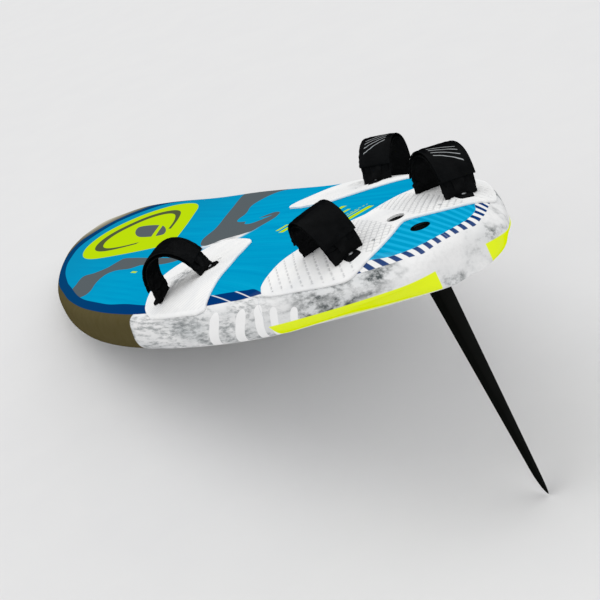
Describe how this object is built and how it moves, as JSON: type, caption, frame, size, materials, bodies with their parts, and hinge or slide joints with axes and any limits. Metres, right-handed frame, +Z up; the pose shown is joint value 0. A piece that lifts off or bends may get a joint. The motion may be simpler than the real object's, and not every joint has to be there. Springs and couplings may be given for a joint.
{
  "type": "windsurf board",
  "caption": "Windsurf board with rounded nose, cut-off tail, soft deck pads, padded footstraps and a straight bolted fin.",
  "frame": {"origin": "tail end: on the centreline of the flat transom, at its lower edge, level with the flat of the bottom", "axes": "+X to the nose, +Y to port, +Z up out of the deck"},
  "size_m": [2.4439, 0.732, 0.6477],
  "materials": {
    "deck_paint": "gloss",
    "bottom_paint": "gloss",
    "foam": "matte",
    "eva": "matte",
    "box_plastic": "satin",
    "fin_laminate": "gloss",
    "stainless": "satin",
    "brass": "satin",
    "neoprene": "matte",
    "webbing": "matte",
    "seal_rubber": "matte"
  },
  "bodies": {
    "board": {"foam_core": "foam", "deck_skin": "deck_paint", "bottom_skin": "bottom_paint", "fin_box": "box_plastic", "vent_insert": "box_plastic", "rear_pad": "eva", "front_pad_port": "eva", "front_pad_starboard": "eva", "plug_front_port_fore": "box_plastic", "plug_front_port_aft": "box_plastic", "plug_front_starboard_fore": "box_plastic", "plug_front_starboard_aft": "box_plastic", "plug_rear_port_fore": "box_plastic", "plug_rear_port_aft": "box_plastic", "plug_rear_starboard_fore": "box_plastic", "plug_rear_starboard_aft": "box_plastic", "lug_front_port_fore": "box_plastic", "lug_front_port_aft": "box_plastic", "lug_front_starboard_fore": "box_plastic", "lug_front_starboard_aft": "box_plastic", "lug_rear_port_fore": "box_plastic", "lug_rear_port_aft": "box_plastic", "lug_rear_starboard_fore": "box_plastic", "lug_rear_starboard_aft": "box_plastic", "screw_front_port_fore": "stainless", "screw_front_port_aft": "stainless", "screw_front_starboard_fore": "stainless", "screw_front_starboard_aft": "stainless", "screw_rear_port_fore": "stainless", "screw_rear_port_aft": "stainless", "screw_rear_starboard_fore": "stainless", "screw_rear_starboard_aft": "stainless"},
    "fin": {"fin_head": "box_plastic", "fin_blade": "fin_laminate", "fin_nut_fore": "brass", "fin_nut_aft": "brass"},
    "fore_washer": {"fin_washer_fore": "stainless"},
    "fore_bolt": {"fin_bolt_fore": "stainless"},
    "aft_washer": {"fin_washer_aft": "stainless"},
    "aft_bolt": {"fin_bolt_aft": "stainless"},
    "vent_gasket": {"vent_seal": "seal_rubber"},
    "vent_plug": {"vent_screw": "box_plastic"},
    "strap_front_port": {"strap_front_port_liner": "neoprene", "strap_front_port_webbing": "webbing"},
    "flap_front_port": {"strap_front_port_flap": "neoprene"},
    "strap_front_starboard": {"strap_front_starboard_liner": "neoprene", "strap_front_starboard_webbing": "webbing"},
    "flap_front_starboard": {"strap_front_starboard_flap": "neoprene"},
    "strap_rear_port": {"strap_rear_port_liner": "neoprene", "strap_rear_port_webbing": "webbing"},
    "flap_rear_port": {"strap_rear_port_flap": "neoprene"},
    "strap_rear_starboard": {"strap_rear_starboard_liner": "neoprene", "strap_rear_starboard_webbing": "webbing"},
    "flap_rear_starboard": {"strap_rear_starboard_flap": "neoprene"}
  },
  "joints": [
    {"name": "fin_drop", "type": "slide", "parent": "board", "child": "fin", "axis": [0, 0, -1], "range_m": [0, 0.075]},
    {"name": "fore_bolt_lift", "type": "slide", "parent": "board", "child": "fore_washer", "axis": [0, 0, 1], "range_m": [0, 0.012]},
    {"name": "fore_bolt_turn", "type": "hinge", "parent": "fore_washer", "child": "fore_bolt", "pos_m": [0.1853, 0, 0.08], "axis": [0, 0, 1], "range_deg": [0, 4320.1]},
    {"name": "aft_bolt_lift", "type": "slide", "parent": "board", "child": "aft_washer", "axis": [0, 0, 1], "range_m": [0, 0.012]},
    {"name": "aft_bolt_turn", "type": "hinge", "parent": "aft_washer", "child": "aft_bolt", "pos_m": [0.1007, 0, 0.08], "axis": [0, 0, 1], "range_deg": [0, 4320.1]},
    {"name": "vent_lift", "type": "slide", "parent": "board", "child": "vent_gasket", "axis": [0, 0, 1], "range_m": [0, 0.0075]},
    {"name": "vent_turn", "type": "hinge", "parent": "vent_gasket", "child": "vent_plug", "pos_m": [0.6, 0, 0.134], "axis": [0, 0, 1], "range_deg": [0, 2160.1]},
    {"name": "strap_front_port_lean", "type": "hinge", "parent": "board", "child": "strap_front_port", "pos_m": [0.75953, 0.25196, 0.12555], "axis": [0.7085, 0.6906, -0.1453], "range_deg": [-12, 12], "stiffness_Nm_per_rad": 0.5},
    {"name": "strap_front_port_open", "type": "hinge", "parent": "strap_front_port", "child": "flap_front_port", "pos_m": [0.79556, 0.30053, 0.16376], "axis": [-0.7046, 0.6806, -0.2007], "range_deg": [0, 85]},
    {"name": "strap_front_starboard_lean", "type": "hinge", "parent": "board", "child": "strap_front_starboard", "pos_m": [0.75953, -0.25196, 0.12555], "axis": [0.7085, -0.6906, -0.1453], "range_deg": [-12, 12], "stiffness_Nm_per_rad": 0.5},
    {"name": "strap_front_starboard_open", "type": "hinge", "parent": "strap_front_starboard", "child": "flap_front_starboard", "pos_m": [0.79556, -0.30053, 0.16376], "axis": [0.7046, 0.6806, 0.2007], "range_deg": [0, 85]},
    {"name": "strap_rear_port_lean", "type": "hinge", "parent": "board", "child": "strap_rear_port", "pos_m": [0.215, 0.11989, 0.11611], "axis": [0.9868, 0.0342, 0.1582], "range_deg": [-12, 12], "stiffness_Nm_per_rad": 0.5},
    {"name": "strap_rear_port_open", "type": "hinge", "parent": "strap_rear_port", "child": "flap_rear_port", "pos_m": [0.26078, 0.12835, 0.166], "axis": [-0.0086, 0.9871, -0.1597], "range_deg": [0, 85]},
    {"name": "strap_rear_starboard_lean", "type": "hinge", "parent": "board", "child": "strap_rear_starboard", "pos_m": [0.215, -0.11989, 0.11611], "axis": [0.9868, -0.0342, 0.1582], "range_deg": [-12, 12], "stiffness_Nm_per_rad": 0.5},
    {"name": "strap_rear_starboard_open", "type": "hinge", "parent": "strap_rear_starboard", "child": "flap_rear_starboard", "pos_m": [0.26078, -0.12835, 0.166], "axis": [0.0086, 0.9871, 0.1597], "range_deg": [0, 85]}
  ],
  "couplings": [
    {"joint": "fore_bolt_turn", "follows": "fore_bolt_lift", "rad_per_m": 6283.2},
    {"joint": "aft_bolt_turn", "follows": "aft_bolt_lift", "rad_per_m": 6283.2},
    {"joint": "vent_turn", "follows": "vent_lift", "rad_per_m": 5026.5}
  ]
}
